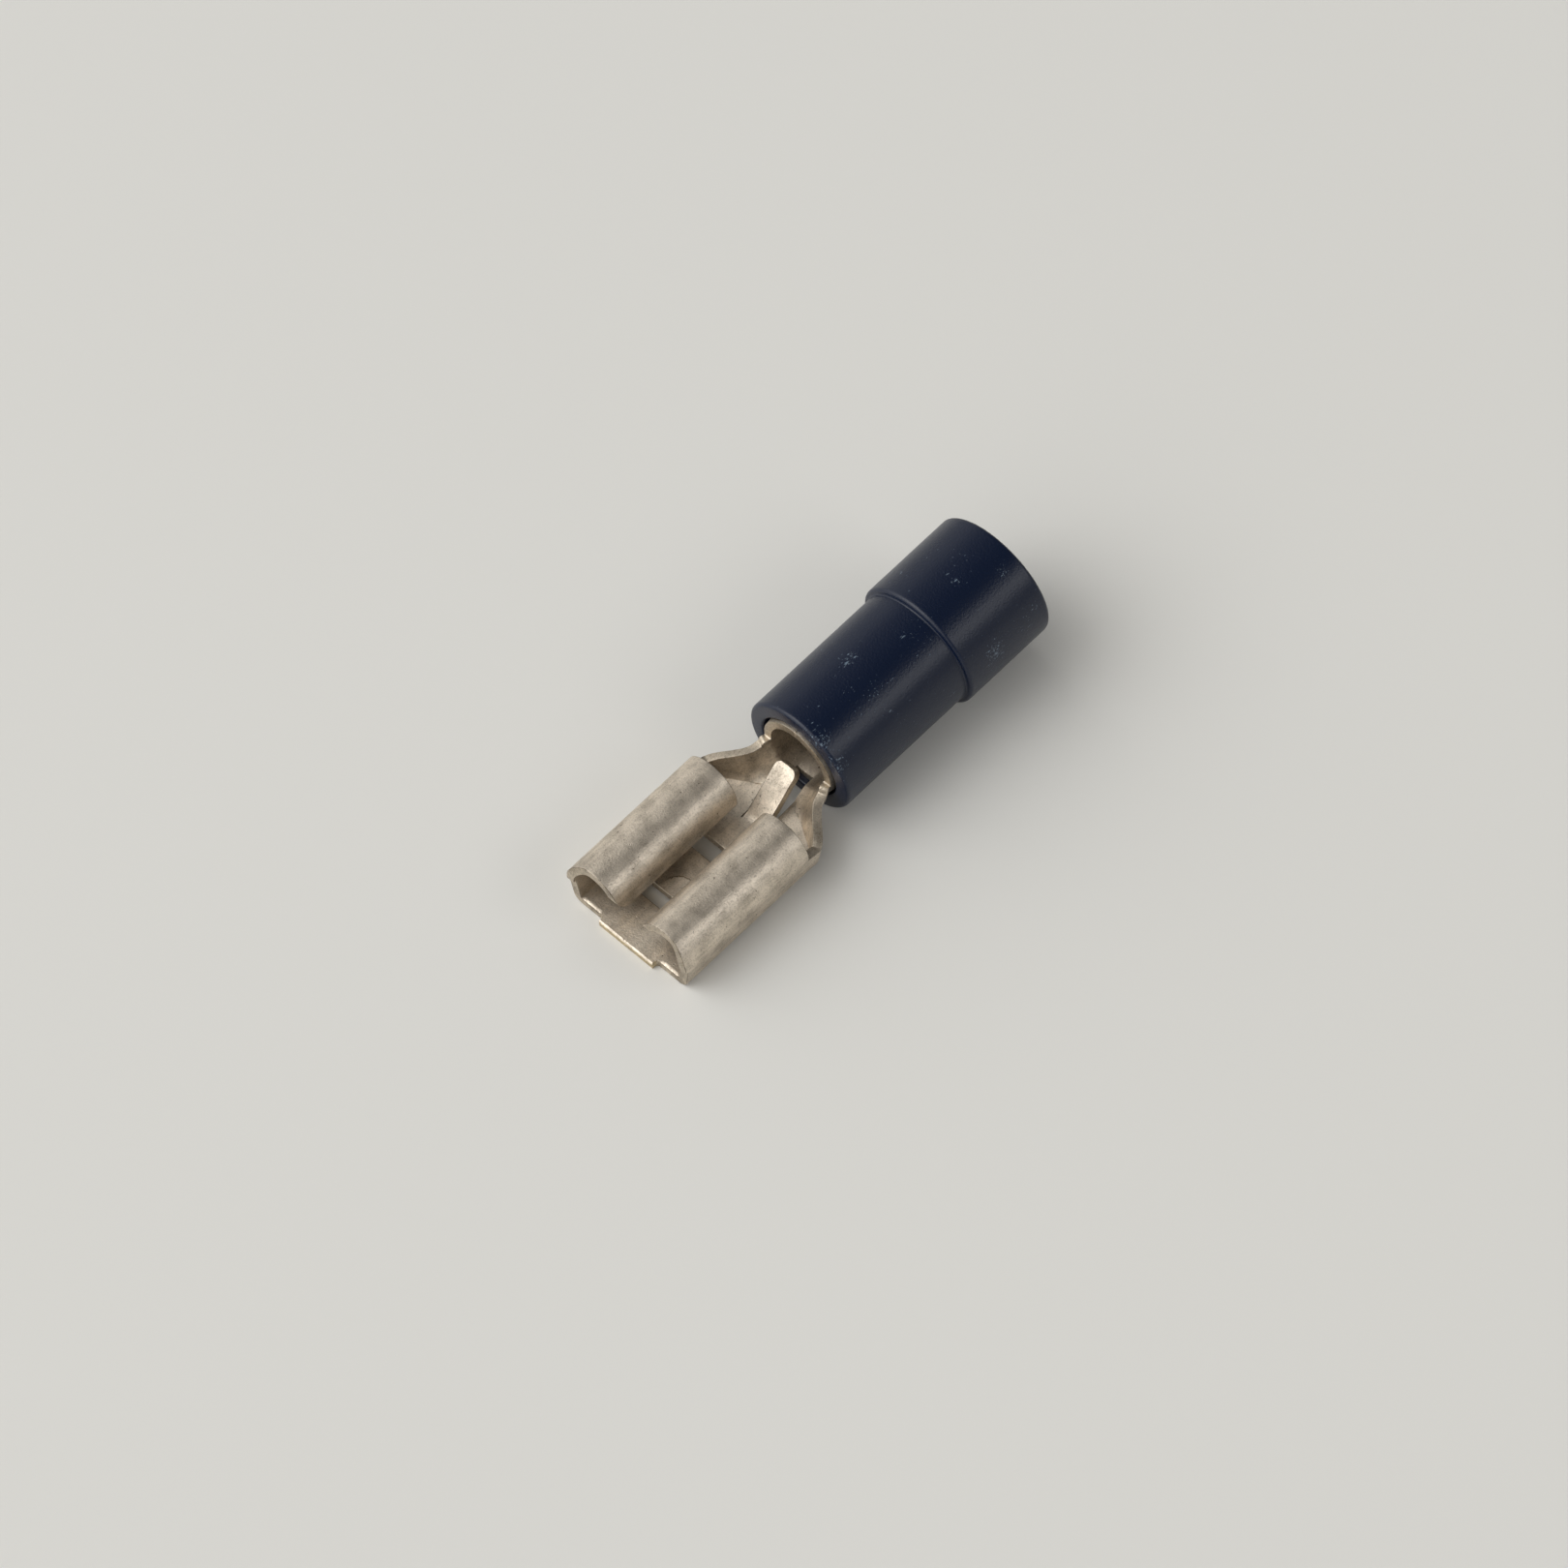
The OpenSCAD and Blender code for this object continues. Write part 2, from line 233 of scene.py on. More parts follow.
def tinned_brass():
    """Tin plating on rolled brass, then stamped: a satin, slightly warm grey metal. Rolling leaves fine lines
    along the strip, the plating is grainy at a few hundredths of a millimetre, and handling leaves pits and
    film. The attribute "sheared" is how far bare brass shows on a face that the press cut, and "burr"
    is painted shade on those faces, darkest on the roundings next to the strip's faces."""
    look = bpy.context.scene.terminal_finishes
    material, tree, shader = new_material("tinned_brass")
    tin, brass, grime_and_shade = (*look.tin, 1.0), (*look.brass, 1.0), (*look.grime_and_shade, 1.0)
    place = add_node(tree, "ShaderNodeTexCoord").outputs["Object"]
    along = add_node(
        tree, "ShaderNodeMapping", {"Vector": place, "Scale": (0.09, 1.0, 1.0)}
    ).outputs["Vector"]
    cloud = add_node(
        tree, "ShaderNodeTexNoise",
        {"Vector": place, "Scale": 1 / (0.7 * MM), "Detail": 5.0, "Roughness": 0.6},
    )
    streaks = add_node(tree, "ShaderNodeTexNoise", {"Vector": along, "Scale": 1 / (0.16 * MM), "Detail": 4.0})
    grain = add_node(
        tree, "ShaderNodeTexNoise",
        {"Vector": place, "Scale": 1 / (0.06 * MM), "Detail": 2.0, "Roughness": 0.6},
    )
    pits = add_node(tree, "ShaderNodeTexNoise", {"Vector": place, "Scale": 1 / (0.13 * MM), "Detail": 2.0})

    # Film: darker in clouds and streaks, darkest in the pits, with painted shade along the cut edges
    cloudy = add_node(
        tree, "ShaderNodeMapRange",
        {"Value": cloud.outputs["Fac"], "From Min": 0.42, "From Max": 0.66, "To Min": 0.0, "To Max": 0.30},
    )
    streaky = add_node(
        tree, "ShaderNodeMapRange",
        {"Value": streaks.outputs["Fac"], "From Min": 0.42, "From Max": 0.70, "To Min": 0.0, "To Max": 0.15},
    )
    speckled = add_node(
        tree, "ShaderNodeMapRange",
        {"Value": grain.outputs["Fac"], "From Min": 0.48, "From Max": 0.70, "To Min": 0.0, "To Max": 0.25},
    )
    pitted = add_node(
        tree, "ShaderNodeMapRange", {"Value": pits.outputs["Fac"], "From Min": 0.70, "From Max": 0.77}
    )
    # Painted shade on the cut faces, darkest on their roundings
    burr = add_node(tree, "ShaderNodeAttribute", attribute_name="burr").outputs["Fac"]
    film = add_node(
        tree, "ShaderNodeMath", {0: cloudy.outputs["Result"], 1: streaky.outputs["Result"]}, operation="ADD"
    )
    film = add_node(
        tree, "ShaderNodeMath", {0: film.outputs["Value"], 1: speckled.outputs["Result"]}, operation="ADD"
    )
    pits_and_shade = add_node(tree, "ShaderNodeMath", {0: pitted.outputs["Result"], 1: burr}, operation="MAXIMUM")

    # Pits and painted edge shade darken by three quarters of their strength, on top of the film
    dark = add_node(
        tree, "ShaderNodeMath", {0: pits_and_shade.outputs["Value"], 1: 0.75, 2: film.outputs["Value"]},
        operation="MULTIPLY_ADD", use_clamp=True,
    )
    sheared = add_node(tree, "ShaderNodeAttribute", attribute_name="sheared").outputs["Fac"]
    plated = add_node(tree, "ShaderNodeMix", {0: sheared, 6: tin, 7: brass}, data_type="RGBA").outputs[2]
    surface_colour = add_node(
        tree, "ShaderNodeMix", {0: dark.outputs["Value"], 6: plated, 7: grime_and_shade}, data_type="RGBA"
    ).outputs[2]
    tree.links.new(surface_colour, shader.inputs["Base Color"])

    gloss = add_node(
        tree, "ShaderNodeMapRange",
        {"Value": grain.outputs["Fac"], "From Min": 0.3, "From Max": 0.7, "To Min": 0.39, "To Max": 0.53},
    )
    tree.links.new(gloss.outputs["Result"], shader.inputs["Roughness"])

    # Relief: the grain, less than half as much of the streaks, and the pits sunk into both
    relief = add_node(
        tree, "ShaderNodeMath", {0: streaks.outputs["Fac"], 1: 0.4, 2: grain.outputs["Fac"]},
        operation="MULTIPLY_ADD",
    )
    sunk = add_node(
        tree, "ShaderNodeMath", {0: relief.outputs["Value"], 1: pitted.outputs["Result"]},
        operation="SUBTRACT",
    )
    bump = add_node(
        tree, "ShaderNodeBump", {"Height": sunk.outputs["Value"], "Strength": 0.8, "Distance": 0.014 * MM}
    )
    tree.links.new(bump.outputs["Normal"], shader.inputs["Normal"])
    shader.inputs["Metallic"].default_value = 1.0
    return material


# Middle and radius, in millimetres, of the places where the sleeve is scuffed most
SCUFFED = (
    ((7.1, -0.4, 2.4), 0.7),
    ((2.7, 2.5, 0.7), 1.1),
    ((10.1, 1.0, 2.1), 1.0),
    ((10.1, 1.9, 1.4), 0.9),
    ((2.3, 0.3, 2.6), 0.35),
    ((0.8, 1.1, 2.4), 0.45),
)


def moulded_nylon():
    """Nylon with a dark blue pigment, moulded: semi-gloss, with a fine pebbled skin that glints where a lamp
    is mirrored, and pale flecks and hairlines where parts have rubbed together."""
    look = bpy.context.scene.terminal_finishes
    material, tree, shader = new_material("moulded_nylon")
    nylon, scuff = (*look.nylon, 1.0), (*look.scuff, 1.0)
    place = add_node(tree, "ShaderNodeTexCoord").outputs["Object"]
    askew = add_node(
        tree, "ShaderNodeMapping", {"Vector": place, "Rotation": (0.4, 0.5, 0.6), "Scale": (0.3, 1.0, 1.0)}
    ).outputs["Vector"]
    pebbles = add_node(
        tree, "ShaderNodeTexNoise",
        {"Vector": place, "Scale": 1 / (0.08 * MM), "Detail": 2.0, "Roughness": 0.55},
    )
    patches = add_node(tree, "ShaderNodeTexNoise", {"Vector": place, "Scale": 1 / (2.2 * MM), "Detail": 2.0})
    flecks = add_node(
        tree, "ShaderNodeTexNoise",
        {"Vector": place, "Scale": 1 / (0.10 * MM), "Detail": 3.0, "Roughness": 0.7},
    )
    hairs = add_node(tree, "ShaderNodeTexNoise", {"Vector": askew, "Scale": 1 / (0.09 * MM), "Detail": 1.0})

    # A fleck or a hairline shows where its own noise peaks, and more do in high patches and scuffed places
    share = add_node(
        tree, "ShaderNodeMapRange",
        {"Value": patches.outputs["Fac"], "From Min": 0.45, "From Max": 0.75, "To Min": 0.0, "To Max": 0.10},
    ).outputs["Result"]
    for spot, radius in SCUFFED:
        away = add_node(
            tree, "ShaderNodeVectorMath", {0: place, 1: Vector(spot) * MM}, operation="DISTANCE"
        ).outputs["Value"]
        rubbed = add_node(
            tree, "ShaderNodeMapRange",
            {"Value": away, "From Min": 0.0, "From Max": radius * MM, "To Min": 0.19, "To Max": 0.0},
        ).outputs["Result"]
        share = add_node(tree, "ShaderNodeMath", {0: share, 1: rubbed}, operation="MAXIMUM").outputs["Value"]
    masks = []
    for noise, start, full in ((flecks, 0.71, 0.80), (hairs, 0.79, 0.85)):
        level = add_node(
            tree, "ShaderNodeMath", {0: noise.outputs["Fac"], 1: share}, operation="ADD"
        ).outputs["Value"]
        mask = add_node(tree, "ShaderNodeMapRange", {"Value": level, "From Min": start, "From Max": full})
        masks.append(mask.outputs["Result"])
    marked = add_node(
        tree, "ShaderNodeMath", {0: masks[0], 1: masks[1]}, operation="MAXIMUM"
    ).outputs["Value"]

    # A mark goes a little less than half the way to the scuff colour
    faint = add_node(tree, "ShaderNodeMath", {0: marked, 1: 0.45}, operation="MULTIPLY").outputs["Value"]
    surface_colour = add_node(tree, "ShaderNodeMix", {0: faint, 6: nylon, 7: scuff}, data_type="RGBA").outputs[2]
    tree.links.new(surface_colour, shader.inputs["Base Color"])

    # Skin: the pebbles, with the marks sunk into them
    skin = add_node(
        tree, "ShaderNodeMath", {0: marked, 1: -0.5, 2: pebbles.outputs["Fac"]}, operation="MULTIPLY_ADD"
    ).outputs["Value"]
    bump = add_node(tree, "ShaderNodeBump", {"Height": skin, "Strength": 0.9, "Distance": 0.010 * MM})
    tree.links.new(bump.outputs["Normal"], shader.inputs["Normal"])
    shader.inputs["Roughness"].default_value = 0.32
    shader.inputs["IOR"].default_value = 1.45
    return material


# ---- The folded strip ----


# The gap along the barrel's seam
SEAM_GAP = 0.012 * MM

# Where the ring opens at the rim, the wall's top starts this far below the barrel's middle and dips further
RIM_DROP = 0.13 * MM
RIM_DIP = 0.1 * MM
RIM_DIP_LENGTH = 0.2 * MM

# The neck is narrower by this share at the rim, which fades out ahead of the rim and behind it
NECK_PINCH = 0.066
NECK_AHEAD = 0.45 * MM
NECK_BEHIND = 0.7 * MM

# The trough: the extra lean outwards halfway along its flare, and its walls' height where they are lowest
FLARE_LEAN = math.radians(16)
TROUGH_HEIGHT = 1.12 * MM

# Shares of the trough's length: where the walls are lowest, where the drop and the lean end, where the bend's
# radius does, and between which the strip widens
WALL_LOW = 0.72
LEAN_END = 0.82
BEND_END = 0.74
WIDTH_START, WIDTH_END = 0.15, 0.81

# Height of the curls' crown above the barrel's middle
CURL_TOP = 0.75 * MM

# The tongue at the mouth, with the depth to which its upper edge is coined
TONGUE_LENGTH = 0.24 * MM
TONGUE_HALF = 1.3 * MM
TONGUE_FILLET = 0.14 * MM
COIN_DEPTH = 0.13 * MM

# The lighter coining of the edges beside the tongue, and how far out it goes
LIP_COIN_DEPTH = 0.03 * MM
LIP_COIN_HALF = 2.25 * MM

# The windows' half width, and where each starts and ends
WINDOW_HALF = 1.15 * MM
FRONT_WINDOW = (16.68 * MM, 17.30 * MM)
REAR_WINDOW = (14.03 * MM, 14.75 * MM)

# The detent: its middle and its low end lie this far behind the front window
DETENT_RADIUS = 0.7 * MM
DETENT_HEIGHT = 0.07 * MM
DETENT_SET = 0.21 * MM
DETENT_LAND = 0.1 * MM

# The tab stop's root, and the play round the stop
STOP_X = 12.69 * MM
SLOT_PLAY = 0.03 * MM

# The curls' free front corners are cut back below this height over the curl's middle, in a rounded slant
TRIM_RISE = 0.5 * MM
TRIM_ROUND = 0.5 * MM

# The curls' front edge is half the lead behind the mouth at their crown, half the lead ahead of it at their
# outer side, and level with it at their foot. The rows from TRIM_START on move with the edge.
FRONT_LEAD = 0.2 * MM
LEAD_CROWN, LEAD_SIDE, LEAD_FOOT = math.radians(75), math.radians(15), math.radians(-40)
TRIM_START = 17.5 * MM

# The grid: its steps over bend and wall and over the arc, the lines that keep close beside an edge, and the
# fine field over the detent
LOW_STEPS = 30
ARC_STEPS = 56
EDGE_ROW = 0.06 * MM
EDGE_COLUMN = 0.04 * MM
FINE_BEHIND = 0.1 * MM
FINE_HALF = 0.78 * MM
TOLERANCE = 1e-9

# Turns, in degrees, at which each rounded corner of a cut edge has a row of points
ROUNDING_STEPS = np.array([0.0, 30.0, 60.0, 90.0])

# How far bare brass shows on cut faces, and how far painted shade darkens them. There is less painted shade at
# the tongue, and none within these distances of a window's rear edge and of the seam.
TONGUE_BRASS = 0.5
CUT_BRASS = 0.08
CORNER_SHADE = 0.8
CUT_SHADE = 0.3
TONGUE_SHADE_SHARE = 0.4
NEAR_WINDOW = 0.03 * MM
NEAR_SEAM = 0.06 * MM


class StripShape:
    """Where each point of the strip's outside face lies, for the place x along it and the distance s round
    the section from the middle of the floor.

    The half section is a floor, a bend, a straight wall and an arc. In the barrel the floor and wall have no
    length, so bend and arc are one circle. In the receptacle the arc is the curl. Between them every size is
    blended."""

    def __init__(self, sizes):
        self.thickness = sizes.thickness
        self.barrel_r = sizes.barrel_radius
        self.mouth_x = STRIP_HIGH.x - TONGUE_LENGTH
        self.curl_x = self.mouth_x - sizes.receptacle
        self.rim_x = self.curl_x - sizes.trough
        self.barrel_x = self.rim_x - sizes.barrel_length
        self.trough = sizes.trough
        self.floor_z = STRIP_LOW.z
        self.floor_drop = sizes.floor_drop
        self.bend_r = sizes.bend_radius
        self.curl_r = sizes.curl_radius
        self.curl_y = STRIP_HIGH.y - sizes.curl_radius
        self.curl_z = CURL_TOP - sizes.curl_radius
        run = sizes.bend_offset - self.curl_y
        rise = self.curl_z - (self.floor_z + self.bend_r)
        tangent_turn = math.acos((self.curl_r - self.bend_r) / math.hypot(run, rise))
        self.wall_lean = math.atan2(rise, run) - tangent_turn
        self.wall_top_w = self.curl_y + self.curl_r * math.cos(self.wall_lean)
        self.wall_top_h = self.curl_z - self.curl_r * math.sin(self.wall_lean) - self.floor_z
        deck_z = self.floor_z + self.thickness
        self.lip_angle = math.pi + math.asin((self.curl_z - deck_z - sizes.slot_height) / self.curl_r)
        self.seam_angle = math.radians(90) - math.asin(SEAM_GAP / 2 / self.barrel_r)
        self.rim_lean = math.asin(RIM_DROP / self.barrel_r)

    def trough_part(self, x):
        """Sizes of the section's lower part at each x: the height of its lowest face, the wall's lean, the
        bend's radius and its centre's distance from the middle, where the wall starts and how long it is."""
        t = np.maximum(0.0, (x - self.rim_x) / self.trough)
        opened = ramp(t, 0, LEAN_END)
        low = -self.barrel_r - self.floor_drop * opened
        lean = mix(self.rim_lean, self.wall_lean, opened) + FLARE_LEAN * np.sin(np.pi * opened)
        r = mix(self.barrel_r, self.bend_r, ramp(t, 0, BEND_END))
        w = mix(self.barrel_r * math.cos(self.rim_lean), self.wall_top_w, ramp(t, WIDTH_START, WIDTH_END))
        h = (
            mix(self.barrel_r - RIM_DROP - RIM_DIP, TROUGH_HEIGHT, np.clip(t / WALL_LOW, 0, 1))
            + RIM_DIP * swing(t * self.trough / RIM_DIP_LENGTH)
            + (self.wall_top_h - TROUGH_HEIGHT) * ramp(t, WALL_LOW, 1)
        )
        y = (w * np.cos(lean) - h * np.sin(lean) - r + r * np.sin(lean)) / np.cos(lean)
        end_y, end_z = y + r * np.cos(lean), low + r - r * np.sin(lean)
        wall = np.hypot(w - end_y, low + h - end_z)
        return low, lean, r, y, end_y, end_z, wall

    def low_length(self, x):
        """Distance round the section from the middle of the floor to the top of the wall."""
        _, lean, r, y, _, _, wall = self.trough_part(x)
        return y + r * (np.pi / 2 - lean) + wall

    def squeeze(self, x):
        """The share of its width that the strip keeps: 1, and less near the rim, where the neck is pressed in."""
        back = (self.rim_x - x) / NECK_BEHIND
        ahead = (x - self.rim_x) / NECK_AHEAD
        return 1 - NECK_PINCH * swing(np.maximum(back, ahead))

    def outside(self, x, s, q):
        """Points, and the tangents round the section there: x and s are arrays, and q, where it isn't nan, is
        the fraction of the upper arc."""
        low, lean, r, y, end_y, end_z, _ = self.trough_part(x)
        curled = x > (self.rim_x + self.curl_x) / 2
        arc_y = np.where(curled, self.curl_y, 0.0)
        arc_z = np.where(curled, self.curl_z, 0.0)
        arc_r = np.where(curled, self.curl_r, self.barrel_r)
        arc_end = np.where(curled, self.lip_angle, self.seam_angle)
        bend = np.clip((s - y) / r, 0, np.pi / 2 - lean)
        past = s - y - r * (np.pi / 2 - lean)
        angle = -lean + np.nan_to_num(q) * (arc_end + lean)
        upper = ~np.isnan(q)
        flat, wall_part = (s < y) & ~upper, (past > 0) & ~upper
        parts = [upper, flat, wall_part]
        parts_y = [arc_y + arc_r * np.cos(angle), s, end_y + past * np.sin(lean)]
        parts_z = [arc_z + arc_r * np.sin(angle), low, end_z + past * np.cos(lean)]
        across = np.select(parts, parts_y, y + r * np.sin(bend))
        up = np.select(parts, parts_z, low + r - r * np.cos(bend))
        out_angle = np.where(upper, angle, bend - np.pi / 2)
        k = self.squeeze(x)
        points = np.stack([x, across * k, up], -1)
        tangent = np.stack([-np.sin(out_angle) * k, np.cos(out_angle)], -1)
        return points, tangent

    def faces_of_strip(self, x, s, q):
        """The outside face and the inside face. The inside lies one thickness along the true normal, which is
        the cross product of the slope along x, found by a small step, and the tangent round the section."""
        points, tangent = self.outside(x, s, q)
        step = 1e-3 * MM
        ahead, _ = self.outside(x + step, s, q)
        behind, _ = self.outside(x - step, s, q)
        slope = (ahead - behind) / (2 * step)
        along = slope[..., 1] * tangent[..., 1] - slope[..., 2] * tangent[..., 0]
        normal = np.stack([along, -tangent[..., 1], tangent[..., 0]], -1)
        normal /= np.linalg.norm(normal, axis=-1, keepdims=True)
        return points, points + normal * self.thickness


def spaced(*stops):
    """Places between stops: each pair after the first value is (end, number of steps)."""
    places = [np.array([stops[0]])]
    for end, steps in stops[1:]:
        places.append(np.linspace(places[-1][-1], end, steps + 1)[1:])
    return np.concatenate(places)


def plate(outside, inside, filled, edge_round):
    """A plate from two grids of points, its outside and inside faces, and the cells that are filled.

    Every edge between a filled cell and an empty one gets a wall whose two corners are quarter circles. With
    n from the outside to the inside face and m pointing out of the metal along the sheet, both corners are
    face - e m + e n + e (m sin a - n cos a) for a from 0 to 90 degrees, and n changes sign at the inside
    face. The third result is 0 on the two faces. On a wall it counts the strips from the outside face to the
    inside one, from 1 up."""
    rows, columns = outside.shape[:2]
    count = rows * columns
    low, high = outside.reshape(-1, 3).copy(), inside.reshape(-1, 3).copy()
    through = (high - low) / np.linalg.norm(high - low, axis=1, keepdims=True)
    index = np.arange(count).reshape(rows, columns)
    a, b, c, d = index[:-1, :-1], index[1:, :-1], index[1:, 1:], index[:-1, 1:]
    padded = np.pad(filled, 1)
    starts, ends = [], []
    for shift, (p, q) in (((-1, 0), (a, d)), ((1, 0), (c, b)), ((0, -1), (b, a)), ((0, 1), (d, c))):
        bare = filled & ~np.roll(padded, (-shift[0], -shift[1]), (0, 1))[1:-1, 1:-1]
        starts.append(p[bare])
        ends.append(q[bare])
    p, q = np.concatenate(starts), np.concatenate(ends)
    middle = (low + high) / 2
    way = middle[q] - middle[p]
    way /= np.linalg.norm(way, axis=1, keepdims=True)
    out = np.cross(through[p] + through[q], way)
    out /= np.linalg.norm(out, axis=1, keepdims=True)
    outward = np.zeros((count, 3))
    np.add.at(outward, p, out)
    np.add.at(outward, q, out)

    # m is the mitre of the edges that meet at a point, so the rounding keeps its size round a corner
    size = np.linalg.norm(outward, axis=1, keepdims=True)
    outward = np.where(size > 0, 2 * outward / np.maximum(size, 1e-12) ** 2, 0.0)
    rim = np.unique(np.concatenate([p, q]))
    place = np.full(count, -1)
    place[rim] = np.arange(len(rim))
    m, n = outward[rim], through[rim]
    rings = []
    for turn in np.radians(ROUNDING_STEPS):
        rings.append(low[rim] + edge_round * (m * (math.sin(turn) - 1) + n * (1 - math.cos(turn))))
    for turn in np.radians(ROUNDING_STEPS[::-1]):
        rings.append(high[rim] + edge_round * (m * (math.sin(turn) - 1) - n * (1 - math.cos(turn))))
    low[rim], high[rim] = rings[0], rings[-1]
    added = [2 * count + k * len(rim) + np.arange(len(rim)) for k in range(len(rings) - 2)]
    between = [rim, *added, rim + count]
    walls = [
        np.stack([first[place[q]], first[place[p]], second[place[p]], second[place[q]]], -1)
        for first, second in zip(between[:-1], between[1:])
    ]
    lower = np.stack([a, d, c, b], -1)[filled]
    upper = np.stack([a, b, c, d], -1)[filled] + count
    points = np.concatenate([low, high, *rings[1:-1]])
    faces = np.concatenate([lower, upper, *walls])
    steps = [np.full(len(wall), k + 1) for k, wall in enumerate(walls)]
    wall_step = np.concatenate([np.zeros(len(lower) + len(upper)), *steps])
    used, faces = np.unique(faces, return_inverse=True)
    return points[used], faces.reshape(-1, 4), wall_step


def bent_stop(shape, stop, u, y, inside_face):
    """The tab stop's face at the distance u back from its root: an arc of the bend's angle, measured along
    the middle of the metal, and then straight. Near the tip each column is drawn back to
    radius - sqrt(radius^2 - d^2) from the end, where d is how far the column is past the round corner's
    centre, and the rows within three such radii of the tip close up."""
    middle_r = stop.bend_radius + shape.thickness / 2
    whole = stop.straight + middle_r * stop.angle
    past = np.maximum(0.0, np.abs(y) - (stop.width / 2 - stop.corner_radius))
    end = whole - stop.corner_radius + np.sqrt(np.maximum(0.0, stop.corner_radius**2 - past**2))
    start = whole - 3 * stop.corner_radius
    u = np.where(u > start, start + (u - start) * (end - start) / (whole - start), u)
    turn = np.clip(u / middle_r, 0.0, stop.angle)
    run = np.maximum(0.0, u - middle_r * stop.angle)
    radius = stop.bend_radius if inside_face else stop.bend_radius + shape.thickness
    x = STOP_X - radius * np.sin(turn) - run * np.cos(turn)
    z = shape.floor_z + shape.thickness + stop.bend_radius - radius * np.cos(turn) + run * np.sin(turn)
    return np.stack([x, y, z], -1)


def strip_plate(shape, stop, edge_round):
    """The whole strip as a plate on one grid: rows along x and columns round the section."""
    half_stop = stop.width / 2
    half_slot = half_stop + SLOT_PLAY
    fine_start = FRONT_WINDOW[0] - DETENT_SET - DETENT_RADIUS - FINE_BEHIND
    slot_end = STOP_X - stop.straight - (stop.bend_radius + shape.thickness / 2) * stop.angle - SLOT_PLAY
    stop_end = slot_end + SLOT_PLAY
    rows = spaced(
        shape.barrel_x, (slot_end, 8), (stop_end, 1), (shape.rim_x, 12), (STOP_X, 58), (shape.curl_x, 2),
        (REAR_WINDOW[0], 5), (REAR_WINDOW[1], 3), (fine_start, 4), (FRONT_WINDOW[0], 36),
        (FRONT_WINDOW[1], 4), (TRIM_START, 1), (shape.mouth_x - EDGE_ROW, 14), (shape.mouth_x, 1),
        (STRIP_HIGH.x - EDGE_ROW, 2), (STRIP_HIGH.x, 1),
    )
    near = spaced(
        0.0, (half_stop - EDGE_COLUMN, 13), (half_stop, 1), (half_slot, 1), (FINE_HALF, 9), (WINDOW_HALF, 4),
        (TONGUE_HALF, 2), (TONGUE_HALF + TONGUE_FILLET, 5),
    )
    low_fraction = np.linspace(0, 1, LOW_STEPS + 1)[1:]
    arc_fraction = np.linspace(0, 1, ARC_STEPS + 1)[1:]
    half_columns = len(near) + len(low_fraction) + len(arc_fraction)
    x = np.repeat(rows[:, None], half_columns, 1)
    total = shape.low_length(rows)[:, None]
    s = np.concatenate(
        [
            np.repeat(near[None, :], len(rows), 0),
            near[-1] + (total - near[-1]) * low_fraction[None, :],
            np.repeat(total, len(arc_fraction), 1),
        ],
        1,
    )
    q = np.full_like(x, np.nan)
    q[:, len(near) + len(low_fraction) :] = arc_fraction[None, :]
    outside, inside = shape.faces_of_strip(x, s, q)
    is_arc = ~np.isnan(q)

    # The tab stop is the slot's own metal, bent up
    own = (s < half_stop + TOLERANCE) & (x > slot_end + TOLERANCE) & (x < STOP_X - TOLERANCE)
    for face, inner in ((outside, False), (inside, True)):
        bent = bent_stop(shape, stop, STOP_X - x, s, inner)
        face[own] = bent[own]

    # The detent: a wedge of the bridge, inside a circle that is cut off at the front, pushed up on both faces
    centre = FRONT_WINDOW[0] - DETENT_SET
    low_x = FRONT_WINDOW[0] - DETENT_LAND
    for face in (outside, inside):
        distance = np.hypot(face[..., 0] - centre, face[..., 1])
        on_bridge = ~is_arc & (face[..., 0] > REAR_WINDOW[1]) & (face[..., 0] < low_x)
        wedge = DETENT_HEIGHT * (low_x - face[..., 0]) / (low_x - centre + DETENT_RADIUS)
        face[..., 2] += np.where(on_bridge & (distance < DETENT_RADIUS), wedge, 0.0)

    # The curl's free front corner is cut back in a rounded slant, its outer side stands a little forward of
    # its crown, and the rows behind the front edge close up or spread out to suit
    for face in (outside, inside):
        free_side = face[..., 1] < shape.curl_y
        below = np.where(free_side, np.maximum(0.0, shape.curl_z + TRIM_RISE - face[..., 2]), 0.0)
        trim = np.hypot(below, TRIM_ROUND) - TRIM_ROUND
        around = np.arctan2(face[..., 2] - shape.curl_z, face[..., 1] - shape.curl_y)
        lead = (ramp(around, LEAD_CROWN, LEAD_SIDE) - 0.5) * ramp(around, LEAD_FOOT, 0.0)
        front = shape.mouth_x - trim + FRONT_LEAD * np.where(free_side, -0.5, lead)
        stretch = (front - TRIM_START) / (shape.mouth_x - TRIM_START)
        closed = TRIM_START + (face[..., 0] - TRIM_START) * stretch
        face[..., 0] = np.where(is_arc & (rows[:, None] > TRIM_START), closed, face[..., 0])

    # The floor's front edge bows out to the tongue in a small hollow corner, and its upper edge is coined
    mouth_row = int(np.argmin(np.abs(rows - shape.mouth_x)))
    y = np.abs(outside[mouth_row, :, 1])
    reach = np.clip((TONGUE_HALF + TONGUE_FILLET - y) / TONGUE_FILLET, 0, 1)
    bow = np.where(is_arc[mouth_row], 0.0, TONGUE_FILLET * (1 - np.sqrt(np.maximum(0.0, 1 - reach**2))))
    tongue_root = shape.mouth_x + TONGUE_FILLET
    part = (rows[mouth_row + 1 :] - shape.mouth_x) / (STRIP_HIGH.x - shape.mouth_x)
    for face in (outside, inside):
        face[mouth_row, :, 0] += bow
        face[mouth_row + 1 :, :, 0] = (tongue_root + part * (STRIP_HIGH.x - tongue_root))[:, None]
    inside[-1, :, 2] -= COIN_DEPTH
    flat = ~is_arc[mouth_row] & (y > TONGUE_HALF + TONGUE_FILLET) & (y < LIP_COIN_HALF)
    inside[mouth_row, :, 2] -= np.where(flat, LIP_COIN_DEPTH, 0.0)

